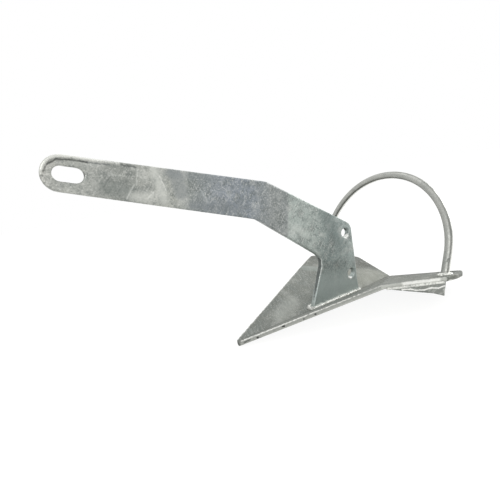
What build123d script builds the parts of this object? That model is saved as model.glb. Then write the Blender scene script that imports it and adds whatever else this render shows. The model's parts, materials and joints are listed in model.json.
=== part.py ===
from build123d import *
from math import cos, radians, sin, sqrt
import os

os.makedirs("parts", exist_ok=True)

# Scoop anchor with a roll bar, standing on its keel: the toe and the rear end of
# the centre fold are on the floor and the shank rises over them.
# Lengths in mm. +X aft (towards the roll bar), +Y to starboard, +Z up. The XZ plane
# is the plane of symmetry. Points below are measured from the toe; the last step
# moves the origin to the middle of the floor under the whole anchor.

# Plate and bar stock
shank_plate = 10.0
fluke_plate = 8.0
skid_plate = 8.0
bar_d = 14.0

# Main sizes: fluke from toe to ears, half its width, eye ahead of and over the toe
fluke_length = 423.2
half_span = 168.1
eye_reach = 191.4
eye_height = 306.8

# Fluke, top face: (x, y, z) of the folds, starboard half
toe_x = -1.0
toe_half_width = 4.0
toe_top = (0.0, 0.0, 7.9)
fold_centre = (275.5, 0.0, 5.7)
rear_centre = (380.0, 0.0, 7.8)
wing_bend = (227.0, 108.9, 54.6)
wing_corner = (310.2, half_span, 52.8)
ear_side = (370.5, 157.0)
ear_rear = (fluke_length, 126.3)
ear_corner_r = 18.0
wing_corner_r = 12.0

# Shank: arm, bend, leg and foot, as (x, z) in the plane of symmetry
eye_centre = (-eye_reach, eye_height)
eye_r = 22.5
slot_half_width = 9.5
slot_travel = 17.0
arm_top_slope = -15.0
arm_under_slope = -19.2
top_bend = (99.9, 251.6)
top_bend_r = 17.0
leg_top_slope = -31.4
under_bend = (69.9, 195.6)
under_bend_r = 28.0
rear_edge_x = 279.2
rear_edge_lean = 2.6
rear_corner_r = 20.0
throat = (197.0, 96.3)
throat_r = 23.0
foot_front_x = 152.0
foot_overlap = 12.0

# Tripping-line holes in the leg, one above the other
hole_d = 17.0
upper_hole = (258.8, 130.1)
lower_hole = (263.3, 49.3)

# Raised lip round the top of the eye that fades out along the arm
lip_r = 2.4
lip_end_r = 0.8
lip_run = 70.0

# Roll bar: half circle on two straight legs, leaning aft
hoop_r = 148.0
hoop_lean = 20.6
hoop_centre = (349.8, 79.1)

# Skids: plates on edge under the straight outer edges of the wings
skid_front_z = 48.4
skid_shoulder_s = 15.2
skid_shoulder_z = 42.3
skid_waist_z = 27.0
skid_heel_z = 20.0
heel_length = 17.0
heel_rake = 6.0

# Weld beads
foot_bead_r = 5.0
bar_bead_base = 5.0
bar_bead_top = 1.2
bar_bead_h = 5.0
skid_bead_r = 2.4
skid_bead_in = 5.0

# Sizes that only have to be big enough to cut with, and a right angle
far = 600.0
quarter_turn = 90.0


def plane_of(p, q, r):
    """Height law z = c + a x + b y of the plane through three points."""
    u = [q[i] - p[i] for i in range(3)]
    v = [r[i] - p[i] for i in range(3)]
    n = (u[1] * v[2] - u[2] * v[1], u[2] * v[0] - u[0] * v[2], u[0] * v[1] - u[1] * v[0])
    a = -n[0] / n[2]
    b = -n[1] / n[2]
    return (p[2] - a * p[0] - b * p[1], a, b)


def height(law, x, y):
    """Height of a panel's face over a point of the floor."""
    return law[0] + law[1] * x + law[2] * y


def lowered(law, thickness):
    """The parallel face a plate thickness under a panel's face."""
    return (law[0] - thickness * sqrt(1 + law[1] ** 2 + law[2] ** 2), law[1], law[2])


def on_keel(first, second):
    """Where two panels meet on the plane of symmetry, as x."""
    return (second[0] - first[0]) / (first[1] - second[1])


def meeting(first, second, third):
    """The point of the floor over which three panels meet, as (x, y)."""
    a1, b1, c1 = first[1] - second[1], first[2] - second[2], second[0] - first[0]
    a2, b2, c2 = second[1] - third[1], second[2] - third[2], third[0] - second[0]
    d = a1 * b2 - a2 * b1
    return ((c1 * b2 - c2 * b1) / d, (a1 * c2 - a2 * c1) / d)


def cut_plane(law, side=1):
    """The plane of a panel's face, normal upwards, for the starboard or port half."""
    return Plane(origin=(0, 0, law[0]), x_dir=(1, 0, law[1]), z_dir=(-law[1], -law[2] * side, 1))


def column(outline, law):
    """Everything under a panel's face over one outline on the floor."""
    block = extrude(make_face(Polyline(*outline, close=True)).moved(Location((0, 0, -far / 2))), far)
    return split(block, bisect_by=cut_plane(law), keep=Keep.BOTTOM)


def rod(start, end, radius):
    """A round bar between two points with flat ends."""
    run = Vector(end) - Vector(start)
    body = Cylinder(radius, run.length, align=(Align.CENTER, Align.CENTER, Align.MIN))
    return Plane(origin=start, z_dir=run) * body


def domed_rod(start, end, radius, pole):
    """A round bar between two points with domed ends, their poles along one direction."""
    body = rod(start, end, radius)
    for tip in (start, end):
        body += Plane(origin=tip, z_dir=pole) * Sphere(radius)
    return body


def mirrored(shape):
    """The same piece on the port side."""
    return mirror(shape, Plane.XZ)


def only_solid(shape):
    """The one solid of a shape that has one, without its compound wrapper."""
    solids = sorted(shape.solids(), key=lambda s: s.volume)
    return solids[-1]


# Fluke: one plate, folded along the keel and along two pairs of lines that fan out
# from the wing bends: to the keel behind the shank's foot, and to the rear centre.
blade = plane_of(toe_top, fold_centre, wing_bend)
valley = plane_of(fold_centre, rear_centre, wing_bend)
wing = plane_of(rear_centre, wing_corner, wing_bend)


def under_face(thickness):
    """Everything below the folded sheet's face, one plate thickness down or none."""
    front, middle, rear = [lowered(law, thickness) for law in (blade, valley, wing)]
    fold_x = on_keel(front, middle)
    heel_x = on_keel(middle, rear)
    bend = meeting(front, middle, rear)
    along = Vector(front[2] - rear[2], rear[1] - front[1]).normalized()
    if along.Y < 0:
        along = -along
    out = (bend[0] + far * along.X, bend[1] + far * along.Y)
    ahead = column([(-far, 0), (fold_x, 0), bend, out, (-far, out[1])], front)
    between = column([(fold_x, 0), (heel_x, 0), bend], middle)
    behind = column([(heel_x, 0), (far * 2, 0), (far * 2, out[1]), out, bend], rear)
    half = ahead + between + behind
    return half + mirrored(half)


edge = [(toe_x, 0), (toe_x, toe_half_width), wing_bend[:2], wing_corner[:2]]
half_outline = Polyline(*edge) + ThreePointArc(wing_corner[:2], ear_side, ear_rear)
half_outline += Polyline(ear_rear, rear_centre[:2], (toe_x, 0))
half_plan = make_face(half_outline)
ear_vertex = half_plan.vertices().sort_by_distance((ear_rear[0], ear_rear[1], 0))[0]
half_plan = fillet(ear_vertex, ear_corner_r)
corner_vertex = half_plan.vertices().sort_by_distance((wing_corner[0], wing_corner[1], 0))[0]
half_plan = fillet(corner_vertex, wing_corner_r)
plan = half_plan + mirror(half_plan, Plane.XZ)
blank = extrude(Pos(0, 0, -far / 2) * plan, far)
sheet = under_face(0.0) - under_face(fluke_plate)
fluke = only_solid(sheet & blank)

# Shank: one flat plate on edge. Its foot is coped to sit in the fold.


def ray_to(start, slope, x):
    """The point at x on a line through start with a slope in degrees."""
    return (x, start[1] + (x - start[0]) * sin(radians(slope)) / cos(radians(slope)))


arm_turn = radians(arm_top_slope)
under_turn = radians(arm_under_slope)
eye_top = (eye_centre[0] - eye_r * sin(arm_turn), eye_centre[1] + eye_r * cos(arm_turn))
eye_under = (eye_centre[0] + eye_r * sin(under_turn), eye_centre[1] - eye_r * cos(under_turn))
eye_front = (eye_centre[0] - eye_r * cos(arm_turn), eye_centre[1] - eye_r * sin(arm_turn))
rear_top = ray_to(top_bend, leg_top_slope, rear_edge_x - rear_edge_lean)
foot_z = height(blade, foot_front_x, 0) - foot_overlap
foot_rear = (rear_edge_x, foot_z)
foot_front = (foot_front_x, foot_z)
profile = Polyline(eye_top, top_bend, rear_top, foot_rear, foot_front, throat, under_bend, eye_under)
profile += ThreePointArc(eye_under, eye_front, eye_top)
side = make_face(profile)


def rounded(face, corner, radius):
    """A profile with one of its corners rounded."""
    vertex = face.vertices().sort_by_distance((corner[0], corner[1], 0))[0]
    return fillet(vertex, radius)


side = rounded(side, top_bend, top_bend_r)
side = rounded(side, rear_top, rear_corner_r)
side = rounded(side, throat, throat_r)
side = rounded(side, under_bend, under_bend_r)
slot_turn = (arm_top_slope + arm_under_slope) / 2
slot_mid = Pos(eye_centre[0], eye_centre[1]) * Rot(0, 0, slot_turn) * Pos(slot_travel / 2, 0)
slot_point = (slot_mid.position.X, slot_mid.position.Y)
side -= slot_mid * SlotCenterToCenter(slot_travel, 2 * slot_half_width)
for spot in (upper_hole, lower_hole):
    side -= Pos(*spot) * Circle(hole_d / 2)
upright = Plane(origin=(0, 0, 0), x_dir=(1, 0, 0), z_dir=(0, -1, 0))
shank = only_solid(extrude(upright * side, shank_plate / 2, both=True))

# A raised lip along the edge of both faces: round the top of the eye, then fading
# out along the arm
lip_arc_r = eye_r - lip_r
for face in (-1, 1):
    sheet_face = Plane(origin=(0, face * shank_plate / 2, 0), x_dir=(1, 0, 0), z_dir=(0, -1, 0))
    bow = sheet_face * CenterArc(eye_centre, lip_arc_r, arm_top_slope + quarter_turn, quarter_turn)
    tube = sweep(Plane(origin=bow @ 0, z_dir=bow % 0) * Circle(lip_r), path=bow)
    fade = Cone(lip_r, lip_end_r, lip_run, align=(Align.CENTER, Align.CENTER, Align.MIN))
    fade = Plane(origin=bow @ 0, z_dir=(cos(arm_turn), 0, sin(arm_turn))) * fade
    shank += tube + fade
shank = only_solid(shank - fluke)

# Roll bar: one leg and a quarter of the circle, coped to the wing, then doubled
lean = radians(hoop_lean)
leg_reach = hoop_centre[1] / cos(lean)
lean_axis = Vector(sin(lean), 0, cos(lean))
hoop_mid = (hoop_centre[0], 0, hoop_centre[1])
hoop_plane = Plane(origin=hoop_mid, x_dir=(0, 1, 0), z_dir=(cos(lean), 0, -sin(lean)))
midway = hoop_r * cos(radians(quarter_turn / 2))
leg = hoop_plane * Polyline((hoop_r, -leg_reach), (hoop_r, 0))
quarter = hoop_plane * ThreePointArc((hoop_r, 0), (midway, midway), (0, hoop_r))
spine = Wire([leg.edges()[0], quarter.edges()[0]])
leg_end = Plane(origin=spine @ 0, z_dir=spine % 0)
half_bar = sweep(leg_end * Circle(bar_d / 2), path=spine)
half_bar = only_solid(split(half_bar, bisect_by=cut_plane(wing), keep=Keep.TOP))
roll_bar = only_solid(half_bar + mirrored(half_bar))

# Skid: a plate on edge, its outer face flush with the wing's straight edge
bend_point = Vector(*wing_bend)
skid_run = Vector(wing_corner[0] - wing_bend[0], wing_corner[1] - wing_bend[1], 0)
skid_length = skid_run.length
skid_dir = skid_run.normalized()
skid_out = Vector(-skid_dir.Y, skid_dir.X, 0)
skid_face = Plane(origin=(wing_bend[0], wing_bend[1], 0), x_dir=skid_dir, z_dir=-skid_out)
lift = wing_bend[2]
heel_s = skid_length - heel_rake
waist_s = heel_s - heel_length
skid_side = [(0, lift), (0, skid_front_z), (skid_shoulder_s, skid_shoulder_z), (waist_s, skid_waist_z)]
skid_side += [((waist_s + heel_s) / 2, (skid_waist_z + skid_heel_z) / 2), (heel_s, skid_heel_z)]
skid_side += [(skid_length, lift)]
skid_blank = extrude(skid_face * make_face(Polyline(*skid_side, close=True)), skid_plate)
skid_under = split(skid_blank, bisect_by=cut_plane(lowered(wing, fluke_plate)), keep=Keep.BOTTOM)
skid_star = only_solid(skid_under - fluke)

# Weld bead round the foot of the shank: both sides, the front and the rear end
side_y = shank_plate / 2
across = (0, 1, 0)
toe_of_foot = foot_front_x + foot_overlap * (throat[0] - foot_front_x) / (throat[1] - foot_z)
front_z = height(blade, toe_of_foot, side_y)
rear_z = height(blade, rear_edge_x, side_y)
bead = domed_rod((toe_of_foot, side_y, front_z), (rear_edge_x, side_y, rear_z), foot_bead_r, across)
bead += domed_rod((toe_of_foot, -side_y, front_z), (rear_edge_x, -side_y, rear_z), foot_bead_r, across)
bead += domed_rod((toe_of_foot, -side_y, front_z), (toe_of_foot, side_y, front_z), foot_bead_r, across)
bead += domed_rod((rear_edge_x, -side_y, rear_z), (rear_edge_x, side_y, rear_z), foot_bead_r, across)
foot_weld = only_solid(bead - shank - fluke)

# Weld beads round the feet of the roll bar
seat_s = (height(wing, hoop_centre[0], hoop_r) - hoop_centre[1]) / (cos(lean) - wing[1] * sin(lean))
seat = Vector(hoop_centre[0], hoop_r, hoop_centre[1]) + lean_axis * seat_s
wing_up = Vector(-wing[1], -wing[2], 1).normalized()
bead_r = bar_d / 2 + bar_bead_base
cone = Cone(bead_r, bar_d / 2 + bar_bead_top, bar_bead_h, align=(Align.CENTER, Align.CENTER, Align.MIN))
bar_weld_star = only_solid(Plane(origin=seat, z_dir=wing_up) * cone - half_bar)

# Weld beads along the outer joint of wing and skid
joint_start = bend_point + skid_dir * skid_bead_in
joint_end = bend_point + skid_dir * (skid_length - skid_bead_in)
low = lowered(wing, fluke_plate)
joint = [(p.X, p.Y, height(low, p.X, p.Y)) for p in (joint_start, joint_end)]
skid_weld_star = only_solid(rod(joint[0], joint[1], skid_bead_r) - fluke - skid_star)

pieces = {
    "fluke": fluke,
    "shank": shank,
    "roll_bar": roll_bar,
    "skid_starboard": skid_star,
    "skid_port": mirrored(skid_star),
    "shank_weld": foot_weld,
    "roll_bar_weld_starboard": bar_weld_star,
    "roll_bar_weld_port": mirrored(bar_weld_star),
    "skid_weld_starboard": skid_weld_star,
    "skid_weld_port": mirrored(skid_weld_star),
}
boxes = [piece.bounding_box() for piece in pieces.values()]
low_x = min(box.min.X for box in boxes)
high_x = max(box.max.X for box in boxes)
low_z = min(box.min.Z for box in boxes)
home = Pos(-(low_x + high_x) / 2, 0, -low_z)
print("moved by", home.position)
for label, (x, z) in {"upper_hole": upper_hole, "lower_hole": lower_hole, "slot": slot_point}.items():
    print(label, round(x + home.position.X, 3), round(z + home.position.Z, 3))
for name, piece in pieces.items():
    placed = only_solid(home * piece)
    box = placed.bounding_box()
    print(name, round(placed.volume), [round(v, 2) for v in (*box.min, *box.max)])
    export_step(placed, "parts/" + name + ".step")
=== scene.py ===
"""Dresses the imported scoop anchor: its zinc-coated plates, bar and weld beads.

It also sets up the stage, the light and the camera.
"""

import json
import logging
import math
import random
from dataclasses import dataclass
from enum import Enum
from typing import Any

import bpy
from mathutils import Matrix, Vector

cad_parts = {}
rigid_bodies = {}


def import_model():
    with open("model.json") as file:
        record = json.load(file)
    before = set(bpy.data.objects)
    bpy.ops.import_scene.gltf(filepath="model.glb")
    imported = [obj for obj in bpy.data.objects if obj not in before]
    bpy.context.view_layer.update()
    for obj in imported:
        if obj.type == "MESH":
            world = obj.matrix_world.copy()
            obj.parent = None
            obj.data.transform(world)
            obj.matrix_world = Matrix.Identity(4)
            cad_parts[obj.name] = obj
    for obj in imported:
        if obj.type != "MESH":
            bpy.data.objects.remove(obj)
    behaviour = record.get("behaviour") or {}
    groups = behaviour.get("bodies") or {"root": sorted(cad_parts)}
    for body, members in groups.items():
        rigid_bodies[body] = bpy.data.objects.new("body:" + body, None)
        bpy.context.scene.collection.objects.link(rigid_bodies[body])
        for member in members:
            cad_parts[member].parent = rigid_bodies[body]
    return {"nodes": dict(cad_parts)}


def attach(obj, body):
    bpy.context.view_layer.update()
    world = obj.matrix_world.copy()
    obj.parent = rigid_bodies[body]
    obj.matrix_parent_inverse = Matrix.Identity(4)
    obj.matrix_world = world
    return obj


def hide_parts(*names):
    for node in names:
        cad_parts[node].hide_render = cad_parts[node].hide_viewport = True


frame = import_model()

log = logging.getLogger("scoop_anchor")
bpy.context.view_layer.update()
ROOT = "root"
MM = 0.001
MERGE_M = 0.00001
Place = tuple[float, float, float]

# The Mix node's colour inputs and its colour output
MIX_UNDER, MIX_OVER, MIX_RESULT = 6, 7, 2

# The coat's fixed patterns: the sizes of its noises, and for each layer the noise values
# at which it starts to show and is full
WOBBLE_NOISE_MM = 22.0
RAGGED_NOISE_MM = 4.0
NOISE_MIDDLE = (0.5, 0.5, 0.5)
DARK_BLOTCHES = (0.5, 0.7)
LIGHT_BLOTCHES = (0.46, 0.32)
LIGHT_BLOTCH_SHARE = 0.6
DARK_CRYSTALS = (0.55, 1.0)
STREAK_BAND = (0.86, 0.98)
STREAK_PATCHINESS = 0.6
STREAK_DISTORTION = 0.6
LIGHT_GRAINS = (0.56, 0.7)
DARK_GRAINS = (0.44, 0.3)
ROUGHNESS_BAND = (0.3, 0.7)
ROUGHNESS_SWING = 0.12

# Softening and lumps of the zinc: the edges are where a plate's faces stop looking across it
SMOOTHING_FACTOR = 0.5
FLAT_FACING = 0.9
EDGE_FADE = 0.4
LUMP_NOISE_DEPTH = 2
LUMP_MID_LEVEL = 0.7

# Weld drops: how much their size and place vary, and how finely they are made
DROP_SWELL = (0.82, 1.08)
DROP_SHIFT_MM = (0.5, 0.4, 0.4)
DROP_SEGMENTS = 16
DROP_RINGS = 10

# The bead round the bar's starboard foot, on the wing's sloping face
BAR_FOOT_MM = (233.7, 148.0, 48.5)
BAR_BEAD_RADIUS_MM = 9.4
BAR_DROP_MM = (3.4, 3.4, 3.0)
WING_RISE = (-0.165, 0.197)
RING_STEPS = 12

# What the floor and the surroundings give as light, and what is seen of them
FLOOR_COLOUR = "#e8e8e6"
FLOOR_SEEN_COLOUR = "#7c7c7a"
FLOOR_GLOW = 0.9
WORLD_LIGHT = 0.6
WORLD_SEEN = 1.0
LAMP_TARGET_M = (0.0, 0.0, 0.12)


class Across(Enum):
    """The axis that a plate's faces look along, as an index into a vector."""

    SIDEWAYS = 1
    UPWARDS = 2


def linear(hex_colour: str) -> tuple[float, float, float, float]:
    """Turns an sRGB hex colour to the linear colour that shaders take.

    Args:
        hex_colour: A colour such as "#9aa19d".

    Returns:
        Red, green, blue and an alpha of 1.
    """
    channels = [int(hex_colour[i : i + 2], 16) / 255 for i in (1, 3, 5)]
    red, green, blue = [c / 12.92 if c <= 0.04045 else ((c + 0.055) / 1.055) ** 2.4 for c in channels]
    return (red, green, blue, 1.0)


def add_node(
    tree: Any,
    kind: str,
    settings: dict[str, Any] | None = None,
    inputs: dict[Any, Any] | None = None,
) -> Any:
    """Adds one node with its settings and its links.

    Args:
        tree: The node tree that gets the node.
        kind: Blender's name of the node's type.
        settings: Attributes to set on the node.
        inputs: For each input, by name or index, a value or an output socket to link.

    Returns:
        The new node.
    """
    node = tree.nodes.new(kind)
    for name, value in (settings or {}).items():
        setattr(node, name, value)
    for key, value in (inputs or {}).items():
        if isinstance(value, bpy.types.NodeSocket):
            tree.links.new(value, node.inputs[key])
        else:
            node.inputs[key].default_value = value
    return node


def deselect_all() -> None:
    """Leaves no object selected."""
    for other in bpy.context.view_layer.objects:
        other.select_set(False)


def select_only(piece: bpy.types.Object) -> None:
    """Makes one object the only one selected, and active."""
    deselect_all()
    piece.select_set(True)
    bpy.context.view_layer.objects.active = piece


def apply_modifier(piece: bpy.types.Object, kind: str, settings: dict[str, Any]) -> None:
    """Adds one modifier with its settings and applies it.

    Args:
        piece: The mesh that gets the modifier.
        kind: Blender's name of the modifier's type.
        settings: Attributes to set on it.
    """
    select_only(piece)
    modifier = piece.modifiers.new(kind.lower(), kind)
    for name, value in settings.items():
        setattr(modifier, name, value)
    bpy.ops.object.modifier_apply(modifier=modifier.name)


def copy_of_node(node: str, name: str) -> bpy.types.Object:
    """Copies a CAD node's mesh and merges its loose triangles into one shell.

    Args:
        node: The CAD node's name.
        name: The new piece's name.

    Returns:
        The new piece, at the origin.
    """
    piece = bpy.data.objects.new(name, frame["nodes"][node].data.copy())
    piece.data.name = name
    piece.data.materials.clear()
    bpy.context.scene.collection.objects.link(piece)
    select_only(piece)
    bpy.ops.object.mode_set(mode="EDIT")
    bpy.ops.mesh.select_all(action="SELECT")
    bpy.ops.mesh.remove_doubles(threshold=MERGE_M)
    bpy.ops.mesh.normals_make_consistent(inside=False)
    bpy.ops.object.mode_set(mode="OBJECT")
    return piece


@dataclass(frozen=True)
class ZoneTone:
    """The tone of the coat at one place along a piece."""

    at_mm: float
    colour: str


@dataclass(frozen=True)
class Mark:
    """A soft-edged stripe or spot on the coat, placed in millimetres of the anchor's own frame."""

    colour: str
    amount: float
    width_mm: float
    soft_mm: float
    route: tuple[Place, ...]

    def paint(self, tree: Any, place: Any, colour: Any) -> Any:
        """Lays the mark over a colour.

        Args:
            tree: The material's node tree.
            place: The socket that gives the place on the piece.
            colour: The socket with the colour under the mark.

        Returns:
            The socket with the marked colour.
        """
        stops = self.route if len(self.route) > 1 else self.route * 2
        gaps = [self.gap_to_run(tree, place, start, end) for start, end in zip(stops, stops[1:])]
        nearest = gaps[0]
        for gap in gaps[1:]:
            nearer = add_node(tree, "ShaderNodeMath", {"operation": "MINIMUM"}, {0: nearest, 1: gap})
            nearest = nearer.outputs[0]
        inner = self.width_mm / 2 * MM
        soft = self.soft_mm / 2 * MM
        cover = add_node(
            tree,
            "ShaderNodeMapRange",
            {"interpolation_type": "SMOOTHSTEP"},
            {
                "Value": nearest,
                "From Min": max(0.0, inner - soft),
                "From Max": inner + soft,
                "To Min": self.amount,
                "To Max": 0.0,
            },
        )
        mixed = add_node(
            tree,
            "ShaderNodeMix",
            {"data_type": "RGBA"},
            {0: cover.outputs["Result"], MIX_UNDER: colour, MIX_OVER: linear(self.colour)},
        )
        return mixed.outputs[MIX_RESULT]

    @staticmethod
    def gap_to_run(tree: Any, place: Any, start: Place, end: Place) -> Any:
        """Measures how far the place is from one straight run of the route.

        Args:
            tree: The material's node tree.
            place: The socket that gives the place on the piece.
            start: The run's first end in millimetres.
            end: The run's last end in millimetres.

        Returns:
            The socket with the distance in metres.
        """
        foot, tip = Vector(start) * MM, Vector(end) * MM
        run = tip - foot
        share = run / run.length_squared if run.length_squared > 0 else run
        offset = add_node(tree, "ShaderNodeVectorMath", {"operation": "SUBTRACT"}, {0: place, 1: foot})
        reach = add_node(
            tree, "ShaderNodeVectorMath", {"operation": "DOT_PRODUCT"}, {0: offset.outputs[0], 1: share}
        )
        kept = add_node(
            tree,
            "ShaderNodeMath",
            {"operation": "ADD", "use_clamp": True},
            {0: reach.outputs["Value"], 1: 0.0},
        )
        along = add_node(
            tree, "ShaderNodeVectorMath", {"operation": "SCALE"}, {0: run, "Scale": kept.outputs[0]}
        )
        gap = add_node(
            tree,
            "ShaderNodeVectorMath",
            {"operation": "DISTANCE"},
            {0: offset.outputs[0], 1: along.outputs[0]},
        )
        return gap.outputs["Value"]


@dataclass(frozen=True)
class ZincCoat:
    """Hot-dip galvanised steel: matt crystals of zinc in greys, with bright runs where the zinc was thick.

    Sizes are in millimetres of the real surface.
    """

    name: str
    tones: tuple[ZoneTone, ...]
    along: Place = (1.0, 0.0, 0.0)
    marks: tuple[Mark, ...] = ()
    wobble_mm: float = 18.0
    ragged_mm: float = 3.0
    dark: str = "#737a78"
    light: str = "#d6d7d2"
    metallic: float = 0.6
    roughness: float = 0.45
    blotch_mm: float = 30.0
    blotch: float = 0.35
    crystal_mm: float = 9.0
    crystal: float = 0.25
    streak_mm: float = 14.0
    streak_width_mm: float = 2.2
    streak_turn: float = 50.0
    streak: float = 0.35
    speckle: float = 0.25
    grain_mm: float = 1.6
    grain_depth_mm: float = 0.12
    ripple_depth_mm: float = 0.25

    def material(self) -> bpy.types.Material:
        """Builds the material's nodes.

        Returns:
            The finished material.
        """
        material = bpy.data.materials.new(self.name)
        material.use_nodes = True
        tree = material.node_tree
        tree.nodes.clear()
        place = add_node(tree, "ShaderNodeTexCoord").outputs["Object"]
        colour = self.zone_colour(tree, place)
        blotches = add_node(
            tree,
            "ShaderNodeTexNoise",
            None,
            {"Vector": place, "Scale": 1 / (self.blotch_mm * MM), "Detail": 4.0},
        ).outputs["Fac"]
        crystals = add_node(
            tree, "ShaderNodeTexVoronoi", None, {"Vector": place, "Scale": 1 / (self.crystal_mm * MM)}
        )
        grey = add_node(tree, "ShaderNodeSeparateColor", None, {"Color": crystals.outputs["Color"]})
        streaks = [
            self.streak_noise(tree, place, turn) for turn in (self.streak_turn, -self.streak_turn)
        ]
        patchy = [
            add_node(
                tree,
                "ShaderNodeMath",
                {"operation": "MULTIPLY_ADD"},
                {0: blotches, 1: STREAK_PATCHINESS, 2: streak},
            ).outputs[0]
            for streak in streaks
        ]
        grain = add_node(
            tree,
            "ShaderNodeTexNoise",
            None,
            {"Vector": place, "Scale": 1 / (self.grain_mm * MM), "Detail": 2.0},
        ).outputs["Fac"]
        for source, (low, high), amount, tint in (
            (blotches, DARK_BLOTCHES, self.blotch, self.dark),
            (grey.outputs["Red"], DARK_CRYSTALS, self.crystal, self.dark),
            (patchy[0], STREAK_BAND, self.streak, self.light),
            (patchy[1], STREAK_BAND, self.streak, self.dark),
            (blotches, LIGHT_BLOTCHES, self.blotch * LIGHT_BLOTCH_SHARE, self.light),
            (grain, LIGHT_GRAINS, self.speckle, self.light),
            (grain, DARK_GRAINS, self.speckle, self.dark),
        ):
            share = add_node(
                tree,
                "ShaderNodeMapRange",
                None,
                {"Value": source, "From Min": low, "From Max": high, "To Min": 0.0, "To Max": amount},
            )
            mixed = add_node(
                tree,
                "ShaderNodeMix",
                {"data_type": "RGBA"},
                {0: share.outputs["Result"], MIX_UNDER: colour, MIX_OVER: linear(tint)},
            )
            colour = mixed.outputs[MIX_RESULT]
        colour = self.marked(tree, place, colour)
        rough = add_node(
            tree,
            "ShaderNodeMapRange",
            None,
            {
                "Value": streaks[0],
                "From Min": ROUGHNESS_BAND[0],
                "From Max": ROUGHNESS_BAND[1],
                "To Min": self.roughness + ROUGHNESS_SWING,
                "To Max": self.roughness - ROUGHNESS_SWING,
            },
        )
        surface = add_node(
            tree,
            "ShaderNodeBsdfPrincipled",
            None,
            {
                "Base Color": colour,
                "Metallic": self.metallic,
                "Roughness": rough.outputs["Result"],
                "Normal": self.bumps(tree, blotches, grain),
            },
        )
        add_node(tree, "ShaderNodeOutputMaterial", None, {"Surface": surface.outputs["BSDF"]})
        return material

    def zone_colour(self, tree: Any, place: Any) -> Any:
        """Runs the tones along the piece, their borders bent by a broad noise.

        Args:
            tree: The material's node tree.
            place: The socket that gives the place on the piece.

        Returns:
            The socket with the zones' colour.
        """
        first, last = self.tones[0].at_mm, self.tones[-1].at_mm
        along = add_node(
            tree, "ShaderNodeVectorMath", {"operation": "DOT_PRODUCT"}, {0: place, 1: self.along}
        )
        wobble = add_node(
            tree,
            "ShaderNodeTexNoise",
            None,
            {"Vector": place, "Scale": 1 / (WOBBLE_NOISE_MM * MM), "Detail": 3.0},
        )
        shifted = add_node(
            tree,
            "ShaderNodeMath",
            {"operation": "MULTIPLY_ADD"},
            {0: wobble.outputs["Fac"], 1: self.wobble_mm * MM, 2: along.outputs["Value"]},
        )
        span = add_node(
            tree,
            "ShaderNodeMapRange",
            None,
            {
                "Value": shifted.outputs[0],
                "From Min": (first + self.wobble_mm / 2) * MM,
                "From Max": (last + self.wobble_mm / 2) * MM,
            },
        )
        ramp = add_node(tree, "ShaderNodeValToRGB", None, {"Fac": span.outputs["Result"]})
        stops = ramp.color_ramp.elements
        for index, tone in enumerate(self.tones):
            at = (tone.at_mm - first) / (last - first)
            stop = stops[index] if index < len(stops) else stops.new(at)
            stop.position = at
            stop.color = linear(tone.colour)
        return ramp.outputs["Color"]

    def streak_noise(self, tree: Any, place: Any, degrees: float) -> Any:
        """Makes the noise of the runs that the zinc left in one slanted direction.

        Args:
            tree: The material's node tree.
            place: The socket that gives the place on the piece.
            degrees: The direction's turn about the anchor's sideways axis.

        Returns:
            The socket with the noise's value.
        """
        noise = add_node(
            tree,
            "ShaderNodeTexNoise",
            None,
            {
                "Vector": self.turned(tree, place, degrees),
                "Scale": 1.0,
                "Detail": 6.0,
                "Distortion": STREAK_DISTORTION,
            },
        )
        return noise.outputs["Fac"]

    def bumps(self, tree: Any, blotches: Any, grain: Any) -> Any:
        """Gives the coat its broad ripples and its fine pebbles.

        Args:
            tree: The material's node tree.
            blotches: The socket with the broad noise.
            grain: The socket with the fine noise.

        Returns:
            The socket with the bumped normal.
        """
        waves = add_node(
            tree,
            "ShaderNodeBump",
            None,
            {"Height": blotches, "Strength": 1.0, "Distance": self.ripple_depth_mm * MM},
        )
        pebbles = add_node(
            tree,
            "ShaderNodeBump",
            None,
            {
                "Height": grain,
                "Strength": 1.0,
                "Distance": self.grain_depth_mm * MM,
                "Normal": waves.outputs["Normal"],
            },
        )
        return pebbles.outputs["Normal"]

    def turned(self, tree: Any, place: Any, degrees: float) -> Any:
        """Stretches the place along one slanted direction of the plate.

        Args:
            tree: The material's node tree.
            place: The socket that gives the place on the piece.
            degrees: The direction's turn about the anchor's sideways axis.

        Returns:
            The socket with the stretched place.
        """
        slanted = add_node(
            tree, "ShaderNodeMapping", None, {"Vector": place, "Rotation": (0.0, math.radians(degrees), 0.0)}
        )
        long_side, short_side = 1 / (self.streak_mm * MM), 1 / (self.streak_width_mm * MM)
        stretched = add_node(
            tree,
            "ShaderNodeVectorMath",
            {"operation": "MULTIPLY"},
            {0: slanted.outputs[0], 1: (long_side, long_side, short_side)},
        )
        return stretched.outputs[0]

    def marked(self, tree: Any, place: Any, colour: Any) -> Any:
        """Paints the marks, their edges made ragged by a fine noise.

        Args:
            tree: The material's node tree.
            place: The socket that gives the place on the piece.
            colour: The socket with the plain coat's colour.

        Returns:
            The socket with the marked colour.
        """
        noise = add_node(
            tree,
            "ShaderNodeTexNoise",
            None,
            {"Vector": place, "Scale": 1 / (RAGGED_NOISE_MM * MM), "Detail": 3.0},
        )
        centred = add_node(
            tree,
            "ShaderNodeVectorMath",
            {"operation": "SUBTRACT"},
            {0: noise.outputs["Color"], 1: NOISE_MIDDLE},
        )
        pushed = add_node(
            tree,
            "ShaderNodeVectorMath",
            {"operation": "MULTIPLY_ADD"},
            {0: centred.outputs[0], 1: (self.ragged_mm * MM,) * 3, 2: place},
        )
        for mark in self.marks:
            colour = mark.paint(tree, pushed.outputs[0], colour)
        return colour


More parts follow.
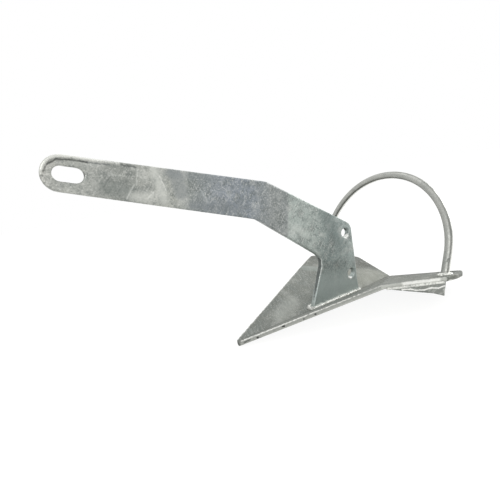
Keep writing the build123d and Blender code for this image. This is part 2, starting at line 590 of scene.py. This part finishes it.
# Marks painted on the shank's coat: a painted highlight along the raised rim round the nose,
# with painted shade in the groove under it, the mottled and bright patches of the arm, painted
# light on the lower leg, painted highlights and painted shade on the slot's and holes' walls, and
# painted shade on the front edge of the leg with a painted highlight along its corner.
SHANK_MARKS = (
    Mark("#6a716d", 0.55, 12.0, 24.0, ((-248.0, -5.0, 286.0), (-224.0, -5.0, 276.0))),
    Mark("#cccec8", 0.65, 12.0, 14.0, ((-182.0, -5.0, 300.0), (-176.0, -5.0, 258.0))),
    Mark("#c8cac4", 0.6, 8.0, 14.0, ((-216.0, -5.0, 268.0), (-192.0, -5.0, 264.0))),
    Mark("#838889", 0.6, 20.0, 8.0, ((-154.0, -5.0, 292.0), (-150.0, -5.0, 262.0))),
    Mark("#7a8084", 0.5, 10.0, 20.0, ((-136.0, -5.0, 240.0), (-60.0, -5.0, 222.0))),
    Mark("#7f8588", 0.4, 8.0, 14.0, ((-165.0, -5.0, 291.0), (-90.0, -5.0, 272.0))),
    Mark("#c3c9c3", 0.55, 8.0, 16.0, ((38.0, -5.0, 170.0), (64.0, -5.0, 150.0))),
    Mark("#6f7a78", 0.6, 14.0, 30.0, ((112.0, -5.0, 176.0), (138.0, -5.0, 116.0))),
    # Painted light: a lighter wash on the lower leg, in place of the brighter light that it reflects.
    Mark("#bcc6c3", 0.78, 56.0, 44.0, ((84.0, -5.0, 40.0), (165.0, -5.0, 20.0))),
    Mark("#66706e", 0.5, 8.0, 14.0, ((150.0, -5.0, 218.0), (172.0, -5.0, 206.0))),
    # Painted highlight along the top of the raised rim round the nose, where it faces the light.
    Mark("#d6d7d1", 0.85, 5.0, 2.0, (
        (-317.0, -7.0, 309.0),
        (-313.0, -7.0, 322.0),
        (-303.0, -7.0, 330.0),
        (-289.0, -7.0, 331.0),
        (-269.0, -7.0, 326.0),
        (-249.0, -7.0, 320.0),
    )),
    Mark("#e9eae5", 0.6, 3.0, 3.0, ((-249.0, -6.0, 320.0), (-225.0, -6.0, 313.0))),
    # Painted shade: the dark line in the groove under the rim.
    Mark("#3a3d3b", 0.8, 2.4, 1.6, (
        (-312.0, -5.0, 315.0),
        (-307.0, -5.0, 322.0),
        (-296.0, -5.0, 326.5),
        (-281.0, -5.0, 324.5),
        (-262.0, -5.0, 318.5),
    )),
    Mark("#53585a", 0.7, 1.6, 1.6, ((-262.0, -5.0, 318.5), (-237.0, -5.0, 312.0))),
    Mark("#4b4f4e", 0.6, 2.2, 2.0, ((-222.0, -5.0, 310.0), (-205.0, -5.0, 305.0))),
    Mark("#3c403f", 0.7, 3.0, 3.0, ((-315.0, -5.0, 310.0),)),
    # Painted shade on the slot's wall, then a painted highlight on a lit wall inside the plate.
    Mark("#3f4341", 0.8, 11.0, 3.0, ((-266.0, 1.0, 304.0),)),
    Mark("#f2f2ec", 0.8, 7.0, 3.0, ((-301.0, 0.0, 299.0), (-283.0, 0.0, 293.0))),
    # Painted highlights on the lit sides of the leg's two holes, then painted shade on their shaded sides.
    Mark("#f2f3ef", 0.9, 8.0, 3.0, ((153.0, -2.0, 47.0), (158.0, -2.0, 43.0))),
    Mark("#f2f3ef", 0.9, 8.0, 3.0, ((157.0, -2.0, 124.0), (161.0, -2.0, 126.0))),
    Mark("#424745", 0.85, 7.0, 3.0, ((166.0, 1.0, 60.0),)),
    Mark("#424745", 0.85, 7.0, 3.0, ((163.0, 1.0, 139.0),)),
    # Painted shade on the front edge of the leg, then a painted highlight along its port corner.
    Mark("#474b49", 0.8, 8.6, 1.6, ((50.0, 0.0, 14.0), (87.0, 0.0, 84.0), (88.0, 0.0, 98.0))),
    Mark("#e4e6e1", 0.6, 1.6, 1.4, (
        (53.0, -5.0, 14.0),
        (89.0, -5.0, 84.0),
        (90.0, -5.0, 97.0),
        (80.0, -5.0, 112.0),
    )),
)
# Thin, faint scratches on the port face of the shank: from x and z, to x and z, and the colour
PORT_FACE_MM = -5.0
SCRATCH_AMOUNT = 0.3
SCRATCH_WIDTH_MM = 0.9
SCRATCH_SOFT_MM = 2.4
SCRATCHES = (
    (-250.0, 286.0, -238.0, 299.0, "#4f5552"),
    (-236.0, 275.0, -219.0, 291.0, "#555b58"),
    (-246.0, 296.0, -231.0, 287.0, "#5b615e"),
    (-226.0, 266.0, -212.0, 283.0, "#eceee9"),
    (-240.0, 300.0, -222.0, 296.0, "#dcdfd9"),
    (-209.0, 284.0, -203.0, 302.0, "#e4e6e1"),
    (-198.0, 262.0, -186.0, 271.0, "#f0f1ec"),
    (-189.0, 262.0, -183.0, 285.0, "#6d736f"),
    (-171.0, 268.0, -176.0, 290.0, "#f0f1ec"),
    (-120.0, 262.0, -112.0, 240.0, "#b9bec1"),
    (-104.0, 258.0, -60.0, 240.0, "#b4babf"),
    (-52.0, 226.0, -46.0, 250.0, "#b4babf"),
    (-76.0, 229.0, -40.0, 216.0, "#6a7076"),
    (-20.0, 246.0, -12.0, 200.0, "#70767a"),
)
SCRATCH_MARKS = tuple(
    Mark(
        colour,
        SCRATCH_AMOUNT,
        SCRATCH_WIDTH_MM,
        SCRATCH_SOFT_MM,
        ((x0, PORT_FACE_MM, z0), (x1, PORT_FACE_MM, z1)),
    )
    for x0, z0, x1, z1, colour in SCRATCHES
)
# Hot-dip galvanised plate: dull grey crystals, in bands that the zinc bath left square to the arm.
SHANK_COAT = ZincCoat(
    name="hot_dip_galvanised_plate",
    tones=(
        ZoneTone(-375.0, "#b0b0aa"),
        ZoneTone(-345.0, "#a8aaa4"),
        ZoneTone(-310.0, "#9fa19c"),
        ZoneTone(-280.0, "#8f928d"),
        ZoneTone(-250.0, "#a5a7a1"),
        ZoneTone(-215.0, "#aeb0a9"),
        ZoneTone(-185.0, "#8f9492"),
        ZoneTone(-140.0, "#8d9399"),
        ZoneTone(-90.0, "#878e95"),
        ZoneTone(-45.0, "#8e9291"),
        ZoneTone(-14.0, "#8c9190"),
        ZoneTone(-10.0, "#a8b1ac"),
        ZoneTone(40.0, "#a4ada8"),
        ZoneTone(80.0, "#8a9592"),
        ZoneTone(130.0, "#a0aba8"),
        ZoneTone(172.0, "#b2bcb9"),
    ),
    along=(0.977, 0.0, -0.212),
    wobble_mm=8.0,
    marks=SHANK_MARKS + SCRATCH_MARKS,
    blotch_mm=22.0,
    blotch=0.5,
    crystal_mm=5.0,
    crystal=0.45,
    streak=0.3,
    speckle=0.45,
    grain_mm=2.2,
    grain_depth_mm=0.2,
    dark="#5f6664",
)
# Marks painted on the fluke's coat: painted highlights along the rims of the blade and wings with
# painted shade lines beside them, black pits in the near edge, painted shade in the crease of the
# keel, painted light over the far fold where the face turns more to the overhead light, and painted
# shade behind the bar on the port wing's rear corner.
FLUKE_MARKS = (
    # Painted light beyond the far fold, where the face turns more to the light overhead.
    Mark("#a6a89f", 0.6, 64.0, 30.0, ((186.0, 44.0, 32.0), (250.0, 22.0, 20.0))),
    Mark("#b4b7b1", 0.5, 26.0, 30.0, ((-5.0, 15.0, 18.0), (37.0, 32.0, 27.0))),
    Mark("#9da49f", 0.6, 26.0, 8.0, ((138.0, 103.0, 56.0), (170.0, 82.0, 47.0))),
    Mark("#747975", 0.4, 20.0, 26.0, ((-45.0, 14.0, 15.0),)),
    # Painted shade in the crease of the keel.
    Mark("#686c68", 0.6, 2.4, 3.0, ((-95.0, 0.0, 11.0), (49.0, 0.0, 9.7))),
    Mark("#686c68", 0.5, 2.4, 4.0, ((180.0, 0.0, 9.0), (277.0, 0.0, 10.9))),
    Mark("#50544f", 0.7, 6.0, 5.0, ((248.0, -2.0, 10.0), (262.0, -2.0, 11.0))),
    # Painted shade on the port wing's rear corner, behind the roll bar.
    Mark("#34372f", 0.9, 38.0, 8.0, ((302.0, -112.0, 29.0), (312.0, -124.0, 30.0))),
    # Painted highlights along the rims of the blade and wings, with painted shade lines beside them.
    Mark("#e9eae5", 0.75, 3.0, 2.5, ((-103.0, 4.0, 11.0), (124.0, 108.9, 57.7), (206.0, 167.0, 56.0))),
    Mark("#b9bbb5", 0.6, 9.0, 3.0, ((-98.0, -7.0, 6.5), (124.0, -109.0, 52.0))),
    Mark("#f2f2ee", 0.85, 2.0, 1.6, ((-100.0, -5.0, 11.5), (124.0, -108.9, 57.7))),
    Mark("#8c8f8a", 0.5, 1.4, 1.6, ((-98.0, -6.5, 9.0), (124.0, -109.0, 54.5))),
    Mark("#dfe0db", 0.5, 2.0, 2.0, ((-95.0, -7.5, 5.0), (124.0, -109.0, 50.0))),
    Mark("#c4c6c0", 0.85, 8.0, 3.0, ((124.0, -109.0, 53.0), (204.0, -166.0, 52.0))),
    Mark("#f5f5f1", 0.9, 6.0, 6.0, ((152.0, -128.0, 53.5), (196.0, -160.5, 52.5))),
    Mark("#5f635e", 0.6, 2.4, 2.0, ((124.0, -107.0, 58.0), (206.0, -164.0, 56.5))),
    Mark("#f1f1ec", 0.8, 2.4, 2.0, (
        (212.0, -168.0, 48.0),
        (262.0, -158.0, 38.0),
        (300.0, -140.0, 27.0),
        (316.0, -124.0, 22.0),
    )),
    Mark("#242624", 0.95, 3.6, 1.4, ((-76.0, -17.0, 12.0),)),
    Mark("#2c2e2c", 0.95, 3.6, 1.4, ((-34.0, -36.0, 22.0), (-36.0, -35.0, 22.0))),
    Mark("#2c2e2c", 0.9, 3.0, 1.4, ((-3.0, -50.0, 27.0),)),
    Mark("#2c2e2c", 0.9, 3.0, 1.4, ((15.0, -59.0, 31.0),)),
    Mark("#3a3c39", 0.7, 3.0, 3.0, ((-96.0, -8.0, 9.0), (-88.0, -12.0, 11.0))),
    Mark("#30322f", 0.8, 5.0, 3.0, ((-104.0, 0.0, 8.0),)),
)
# Hot-dip galvanised thick plate: rougher and darker than the shank, finely pebbled, so that
# it keeps an even grey even where it is seen almost along its face.
FLUKE_COAT = ZincCoat(
    name="hot_dip_galvanised_fluke_plate",
    tones=(
        ZoneTone(-105.0, "#777a75"),
        ZoneTone(0.0, "#7a7d77"),
        ZoneTone(110.0, "#878a84"),
        ZoneTone(200.0, "#70726a"),
        ZoneTone(317.0, "#5c5e58"),
    ),
    metallic=0.4,
    roughness=0.65,
    grain_mm=2.0,
    grain_depth_mm=0.5,
    marks=FLUKE_MARKS,
    blotch=0.4,
    streak=0.12,
    speckle=0.45,
)
# A painted highlight runs along the ridge that the skid's zinc ran to on its outer face, with
# painted shade under it.
SKID_COAT = ZincCoat(
    name="hot_dip_galvanised_skid",
    tones=(ZoneTone(120.0, "#7b7e79"), ZoneTone(210.0, "#888a85")),
    grain_depth_mm=0.3,
    marks=(
        # Painted highlight along the ridge.
        Mark("#f4f4f0", 0.9, 2.6, 1.6, (
            (148.0, -126.5, 44.5),
            (159.0, -134.5, 43.0),
            (167.0, -140.0, 39.5),
            (175.0, -145.5, 38.5),
            (186.0, -153.5, 40.5),
            (195.0, -160.0, 38.5),
            (203.0, -165.5, 41.0),
        )),
        # Painted shade under the ridge.
        Mark("#5d615d", 0.6, 4.0, 4.0, ((150.0, -128.0, 40.0), (180.0, -149.0, 34.5))),
        Mark("#d9dad4", 0.6, 6.0, 5.0, ((204.0, -166.0, 33.0), (206.0, -167.0, 27.0))),
    ),
    blotch=0.3,
)
# Hot-dip galvanised round bar: smoother. Its tones run across it, along the line square to the
# hoop's own plane, and paint its light: a painted highlight down its lit side, painted shade at its
# edges, and a painted highlight band along the near leg.
BAR_COAT = ZincCoat(
    name="hot_dip_galvanised_round_bar",
    tones=(
        # Painted shade at the bar's edges and a painted highlight down its lit side.
        ZoneTone(194.5, "#b3b4af"),
        ZoneTone(196.5, "#a3a49f"),
        ZoneTone(198.5, "#73746f"),
        ZoneTone(200.5, "#8d8e89"),
        ZoneTone(201.5, "#f2f2ee"),
        ZoneTone(206.0, "#f6f6f2"),
        ZoneTone(208.0, "#6d6f6b"),
    ),
    along=(0.936, 0.0, -0.352),
    wobble_mm=1.6,
    roughness=0.4,
    streak=0.15,
    blotch=0.2,
    crystal=0.1,
    marks=(
        # Painted highlight along the near leg of the bar.
        Mark("#f6f6f2", 0.9, 10.0, 4.0, (
            (238.0, -154.0, 50.0),
            (254.0, -154.0, 92.0),
            (265.0, -151.0, 118.0),
            (276.5, -133.0, 154.0),
            (287.0, -109.0, 184.0),
        )),
        Mark("#3d403d", 0.85, 3.4, 1.6, ((236.0, -153.0, 72.0), (238.0, -153.0, 77.0))),
        Mark("#4a4d4a", 0.7, 2.4, 1.6, ((243.0, -154.0, 118.0),)),
    ),
)
# Hot-dip galvanised weld bead: nearly white, and shiny enough for each drop to catch the light.
BEAD_COAT = ZincCoat(
    name="hot_dip_galvanised_weld_bead",
    tones=(ZoneTone(-105.0, "#e4e5df"), ZoneTone(317.0, "#e4e5df")),
    roughness=0.35,
    blotch_mm=3.5,
    blotch=0.6,
    dark="#5d615e",
)


# The foot's bead: down the port side, round the rear end, and back along starboard
FOOT_ROUTE = (
    (54.0, 0.0, 12.0),
    (55.0, -6.5, 14.6),
    (175.0, -6.5, 13.6),
    (176.5, 0.0, 11.0),
    (175.0, 6.5, 13.6),
    (55.0, 6.5, 14.6),
    (54.0, 0.0, 12.0),
)


@dataclass
class CoatedPiece:
    """One steel piece with the soft edges and lumps that a zinc bath leaves on it."""

    name: str
    node: str
    slot: str
    coat: ZincCoat
    voxel_mm: float
    across: Across
    lump_mm: float = 3.0
    lump_height_mm: float = 0.5
    smoothing: int = 2

    def build(self) -> bpy.types.Object:
        """Rounds the CAD shape's edges, adds the lumps and dresses the piece.

        Returns:
            The piece that stands for the CAD node.
        """
        piece = self.raw_shape()
        apply_modifier(
            piece,
            "REMESH",
            {"mode": "VOXEL", "voxel_size": self.voxel_mm * MM, "use_smooth_shade": True},
        )
        apply_modifier(piece, "SMOOTH", {"factor": SMOOTHING_FACTOR, "iterations": self.smoothing})
        self.add_lumps(piece)
        piece.data.materials.append(self.coat.material())
        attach(piece, ROOT)
        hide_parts(self.node)
        log.info("%s: %d faces", self.name, len(piece.data.polygons))
        return piece

    def raw_shape(self) -> bpy.types.Object:
        """Copies the CAD shape that the piece starts from."""
        return copy_of_node(self.node, self.name)

    def add_lumps(self, piece: bpy.types.Object) -> None:
        """Roughens the plate's edges, which show the zinc's lumps most."""
        group = piece.vertex_groups.new(name="edges")
        for vertex in piece.data.vertices:
            facing = abs(vertex.normal[self.across.value])
            share = max(0.0, min(1.0, (FLAT_FACING - facing) / EDGE_FADE))
            group.add([vertex.index], share, "REPLACE")
        lumps = bpy.data.textures.new(self.name + "_lumps", "CLOUDS")
        lumps.noise_scale = self.lump_mm * MM
        lumps.noise_depth = LUMP_NOISE_DEPTH
        apply_modifier(
            piece,
            "DISPLACE",
            {
                "texture": lumps,
                "strength": self.lump_height_mm * MM,
                "mid_level": LUMP_MID_LEVEL,
                "vertex_group": "edges",
                "texture_coords": "LOCAL",
            },
        )
        piece.vertex_groups.clear()


@dataclass
class RippledBead(CoatedPiece):
    """A weld bead whose surface shows the drops of metal that it was laid from."""

    route: tuple[Place, ...] = ()
    drop_mm: Place = (3.6, 5.0, 4.6)
    pitch_mm: float = 5.4
    seed: int = 3

    def raw_shape(self) -> bpy.types.Object:
        """Joins a row of squashed drops to the CAD bead."""
        piece = copy_of_node(self.node, self.name)
        chance = random.Random(self.seed)
        drops = []
        for start, end in zip(self.route, self.route[1:]):
            run = Vector(end) - Vector(start)
            count = max(1, round(run.length / self.pitch_mm))
            for index in range(count):
                drops.append(self.drop(Vector(start) + run * (index / count), chance))
        select_only(piece)
        for drop in drops:
            drop.select_set(True)
        bpy.ops.object.join()
        return piece

    def drop(self, place_mm: Vector, chance: random.Random) -> bpy.types.Object:
        """Adds one drop of weld metal.

        Args:
            place_mm: The drop's middle.
            chance: The seeded source of its size and shift.

        Returns:
            The drop's mesh.
        """
        deselect_all()
        swell = chance.uniform(*DROP_SWELL)
        shift = Vector([chance.uniform(-reach, reach) for reach in DROP_SHIFT_MM])
        bpy.ops.mesh.primitive_uv_sphere_add(
            segments=DROP_SEGMENTS, ring_count=DROP_RINGS, radius=MM, location=(place_mm + shift) * MM
        )
        drop = bpy.context.active_object
        drop.scale = [side * swell for side in self.drop_mm]
        bpy.ops.object.transform_apply(location=True, rotation=True, scale=True)
        return drop


def ring_route(middle: Place, radius: float, tilt: tuple[float, float]) -> tuple[Place, ...]:
    """Gives a closed round route that lies on a sloping face.

    Args:
        middle: The ring's middle in millimetres.
        radius: The ring's radius in millimetres.
        tilt: The face's rise along X and along Y.

    Returns:
        The route's points in millimetres.
    """
    points = []
    for step in range(RING_STEPS + 1):
        turn = 2 * math.pi * step / RING_STEPS
        x, y = radius * math.cos(turn), radius * math.sin(turn)
        points.append((middle[0] + x, middle[1] + y, middle[2] + tilt[0] * x + tilt[1] * y))
    return tuple(points)


@dataclass(frozen=True)
class Lamp:
    """A square soft box, placed and sized in metres, with its power in watts."""

    name: str
    at_m: Place
    size_m: float
    watts: float


def seen_or_mirrored(tree: Any) -> Any:
    """Tells what is looked at from what only gives light.

    Args:
        tree: The node tree of the floor or of the surroundings.

    Returns:
        The socket that is 1 for a camera ray or a glossy ray, and 0 for any other.
    """
    path = add_node(tree, "ShaderNodeLightPath")
    seen = add_node(
        tree,
        "ShaderNodeMath",
        {"operation": "MAXIMUM"},
        {0: path.outputs["Is Camera Ray"], 1: path.outputs["Is Glossy Ray"]},
    )
    return seen.outputs[0]


@dataclass
class Studio:
    """The plain stage: a pale floor, soft light and the camera."""

    camera_at_mm: Place = (-339.1, -500.5, 271.8)
    heading: float = 29.81
    downwards: float = 11.72
    roll: float = 9.83
    lens_mm: float = 26.2
    sensor_mm: float = 36.0
    floor_half_mm: float = 6000.0
    floor_gap_mm: float = 0.3
    lamps: tuple[Lamp, ...] = (
        Lamp("overhead", (0.2, 0.3, 1.6), 1.6, 6.0),
        Lamp("left_front", (-1.2, -1.4, 0.9), 1.2, 12.0),
        Lamp("right_front", (1.5, -0.3, 0.8), 1.0, 10.0),
    )

    def build(self) -> None:
        """Sets up everything that isn't part of the object."""
        self.make_camera()
        self.make_floor()
        self.make_lamps()
        self.make_world()
        bpy.context.scene.view_settings.view_transform = "Standard"

    def make_camera(self) -> None:
        """Stands the camera where the anchor shows its port side, a little from above."""
        turn = math.radians(self.heading)
        dip = math.radians(self.downwards)
        ahead = Vector((math.sin(turn) * math.cos(dip), math.cos(turn) * math.cos(dip), -math.sin(dip)))
        level = Vector((math.cos(turn), -math.sin(turn), 0.0))
        above = level.cross(ahead)
        roll = math.radians(self.roll)
        right = level * math.cos(roll) - above * math.sin(roll)
        up = right.cross(ahead)
        data = bpy.data.cameras.new("camera")
        data.lens = self.lens_mm
        data.sensor_width = self.sensor_mm
        camera = bpy.data.objects.new("camera", data)
        bpy.context.scene.collection.objects.link(camera)
        turned = Matrix((right, up, -ahead)).transposed().to_4x4()
        camera.matrix_world = Matrix.Translation(Vector(self.camera_at_mm) * MM) @ turned
        bpy.context.scene.camera = camera

    def make_floor(self) -> None:
        """Lays the pale floor, white to the camera but for the soft shadow on it."""
        deselect_all()
        half = self.floor_half_mm * MM
        bpy.ops.mesh.primitive_plane_add(size=2 * half, location=(0.0, 0.0, -self.floor_gap_mm * MM))
        floor = bpy.context.active_object
        floor.name = "floor"
        material = bpy.data.materials.new("matt_white_floor")
        material.use_nodes = True
        tree = material.node_tree
        tree.nodes.clear()
        matt = add_node(tree, "ShaderNodeBsdfDiffuse", None, {"Color": linear(FLOOR_COLOUR)})
        part = add_node(
            tree, "ShaderNodeEmission", None, {"Color": linear("#ffffff"), "Strength": FLOOR_GLOW}
        )
        dimmed = add_node(tree, "ShaderNodeBsdfDiffuse", None, {"Color": linear(FLOOR_SEEN_COLOUR)})
        glow = add_node(tree, "ShaderNodeAddShader", None, {0: part.outputs[0], 1: dimmed.outputs[0]})
        mixed = add_node(
            tree,
            "ShaderNodeMixShader",
            None,
            {0: seen_or_mirrored(tree), 1: matt.outputs[0], 2: glow.outputs[0]},
        )
        add_node(tree, "ShaderNodeOutputMaterial", None, {"Surface": mixed.outputs[0]})
        floor.data.materials.append(material)

    def make_lamps(self) -> None:
        """Hangs the soft boxes, each turned to the middle of the anchor."""
        for box in self.lamps:
            data = bpy.data.lights.new(box.name, "AREA")
            data.size = box.size_m
            data.energy = box.watts
            lamp = bpy.data.objects.new(box.name, data)
            bpy.context.scene.collection.objects.link(lamp)
            lamp.location = box.at_m
            lamp.rotation_mode = "QUATERNION"
            backwards = Vector(box.at_m) - Vector(LAMP_TARGET_M)
            lamp.rotation_quaternion = backwards.to_track_quat("Z", "Y")

    def make_world(self) -> None:
        """Makes the surroundings: white where they are seen, a little less as light."""
        world = bpy.data.worlds.new("white_studio")
        bpy.context.scene.world = world
        world.use_nodes = True
        tree = world.node_tree
        tree.nodes.clear()
        strength = add_node(
            tree,
            "ShaderNodeMapRange",
            None,
            {"Value": seen_or_mirrored(tree), "To Min": WORLD_LIGHT, "To Max": WORLD_SEEN},
        )
        glow = add_node(
            tree,
            "ShaderNodeBackground",
            None,
            {"Color": linear("#ffffff"), "Strength": strength.outputs["Result"]},
        )
        add_node(tree, "ShaderNodeOutputWorld", None, {"Surface": glow.outputs[0]})


def main() -> None:
    """Builds the anchor's pieces in order, then the stage."""
    logging.basicConfig(level=logging.INFO, format="%(name)s %(message)s")
    parts = [
        CoatedPiece(
            "shank_plate", "shank", "galvanised_shank", SHANK_COAT, voxel_mm=1.3, across=Across.SIDEWAYS
        ),
        CoatedPiece(
            "fluke_plate", "fluke", "galvanised_fluke", FLUKE_COAT, voxel_mm=1.7, across=Across.UPWARDS
        ),
        CoatedPiece(
            "round_bar",
            "roll_bar",
            "galvanised_bar",
            BAR_COAT,
            voxel_mm=1.2,
            across=Across.SIDEWAYS,
            lump_height_mm=0.15,
        ),
        RippledBead(
            "shank_weld_bead",
            "shank_weld",
            "galvanised_weld",
            BEAD_COAT,
            voxel_mm=0.7,
            across=Across.SIDEWAYS,
            route=FOOT_ROUTE,
        ),
    ]
    for side, sign in (("starboard", 1), ("port", -1)):
        middle = (BAR_FOOT_MM[0], BAR_FOOT_MM[1] * sign, BAR_FOOT_MM[2])
        ring = ring_route(middle, BAR_BEAD_RADIUS_MM, (WING_RISE[0], WING_RISE[1] * sign))
        parts += [
            CoatedPiece(
                f"skid_plate_{side}",
                f"skid_{side}",
                "galvanised_fluke",
                SKID_COAT,
                voxel_mm=0.9,
                across=Across.SIDEWAYS,
            ),
            RippledBead(
                f"bar_weld_bead_{side}",
                f"roll_bar_weld_{side}",
                "galvanised_weld",
                BEAD_COAT,
                voxel_mm=0.6,
                across=Across.SIDEWAYS,
                route=ring,
                drop_mm=BAR_DROP_MM,
            ),
            CoatedPiece(
                f"skid_weld_bead_{side}",
                f"skid_weld_{side}",
                "galvanised_weld",
                BEAD_COAT,
                voxel_mm=0.6,
                across=Across.SIDEWAYS,
            ),
        ]
    for part in parts:
        part.build()
    Studio().build()


if __name__ == "__main__":
    main()
